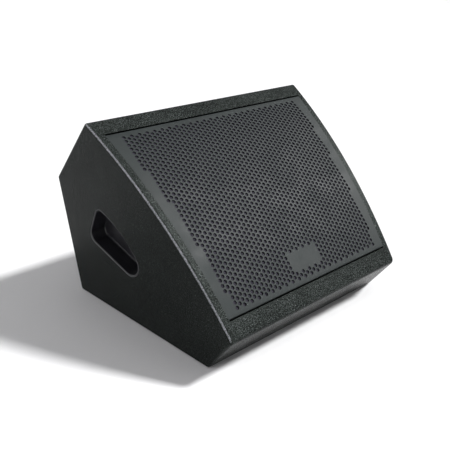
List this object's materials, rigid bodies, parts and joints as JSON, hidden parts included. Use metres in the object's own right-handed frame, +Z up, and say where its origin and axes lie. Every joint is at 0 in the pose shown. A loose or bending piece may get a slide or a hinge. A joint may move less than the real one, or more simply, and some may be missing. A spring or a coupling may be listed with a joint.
{
  "type": "stage monitor wedge",
  "caption": "Wedge-shaped floor monitor loudspeaker with a curved perforated grille, side hand grips and rear connector sockets.",
  "frame": {"origin": "middle of the resting face of the bottom panel, on the floor", "axes": "+Z up, +Y to the rear connector panel, -Y to the grille side, +X to the right when facing the grille"},
  "size_m": [0.527, 0.4384, 0.3532],
  "materials": {
    "textured_coating": "textured black polyurea coating over birch plywood",
    "birch_plywood": "raw birch plywood, cut edges",
    "painted_plywood": "plywood with thin matt black paint",
    "grille_coating": "fine matt black powder coating",
    "foam": "open-cell acoustic foam",
    "moulded_plastic": "smooth moulded black plastic",
    "black_screws": "blackened steel",
    "zinc_steel": "zinc-plated steel",
    "nylon": "black nylon",
    "cast_frame": "black-painted die casting",
    "rubber": "matt rubber",
    "spider_cloth": "resin-treated cotton cloth",
    "cone_paper": "pressed paper fibre",
    "former_film": "amber polyimide film",
    "copper": "enamelled copper wire",
    "ferrite": "sintered ferrite",
    "horn_plastic": "moulded black plastic",
    "dome_titanium": "thin titanium",
    "plate_coating": "fine matt black powder coating",
    "circuit_board": "glass-fibre board",
    "capacitor_film": "polyester film",
    "resistor_ceramic": "white ceramic",
    "wadding_fibre": "polyester wadding"
  },
  "bodies": {
    "cabinet": {"baffle": "painted_plywood", "basket": "cast_frame", "batten_left": "painted_plywood", "batten_right": "painted_plywood", "board_stands": "moulded_plastic", "bottom_panel": "textured_coating", "bottom_rail": "textured_coating", "capacitors": "capacitor_film", "crossover_board": "circuit_board", "cup_screws_left": "black_screws", "cup_screws_right": "black_screws", "driver_nuts": "zinc_steel", "driver_screws": "black_screws", "front_cleat": "birch_plywood", "gasket": "rubber", "grille": "grille_coating", "grille_foam": "foam", "grille_pins_left": "nylon", "grille_pins_right": "nylon", "hand_cup_left": "moulded_plastic", "hand_cup_right": "moulded_plastic", "heel_cleat": "birch_plywood", "horn": "horn_plastic", "inductor_left": "copper", "inductor_right": "copper", "input_plate": "plate_coating", "input_screws": "black_screws", "knee_cleat": "birch_plywood", "magnet": "ferrite", "phase_plug": "horn_plastic", "pole_piece": "zinc_steel", "port_left": "moulded_plastic", "port_right": "moulded_plastic", "rear_panel": "textured_coating", "resistor": "resistor_ceramic", "side_panel_left": "textured_coating", "side_panel_right": "textured_coating", "socket_in": "moulded_plastic", "socket_link": "moulded_plastic", "spider": "spider_cloth", "surround": "rubber", "toe_panel": "textured_coating", "top_plate": "zinc_steel", "top_rail": "textured_coating", "tweeter_cover": "cast_frame", "tweeter_magnet": "ferrite", "tweeter_plate": "zinc_steel", "upper_rear_panel": "textured_coating", "wadding": "wadding_fibre"},
    "woofer_cone": {"cone": "cone_paper", "former": "former_film", "voice_coil": "copper"},
    "tweeter_diaphragm": {"tweeter_dome": "dome_titanium"}
  },
  "joints": [
    {"name": "woofer_travel", "type": "slide", "parent": "cabinet", "child": "woofer_cone", "axis": [0, -0.6376, 0.7704], "range_m": [-0.006, 0.006], "stiffness_N_per_m": 2500, "deforming": ["surround", "spider"]},
    {"name": "tweeter_travel", "type": "slide", "parent": "cabinet", "child": "tweeter_diaphragm", "axis": [0, -0.6376, 0.7704], "range_m": [-0.0003, 0.0003], "stiffness_N_per_m": 2000}
  ]
}
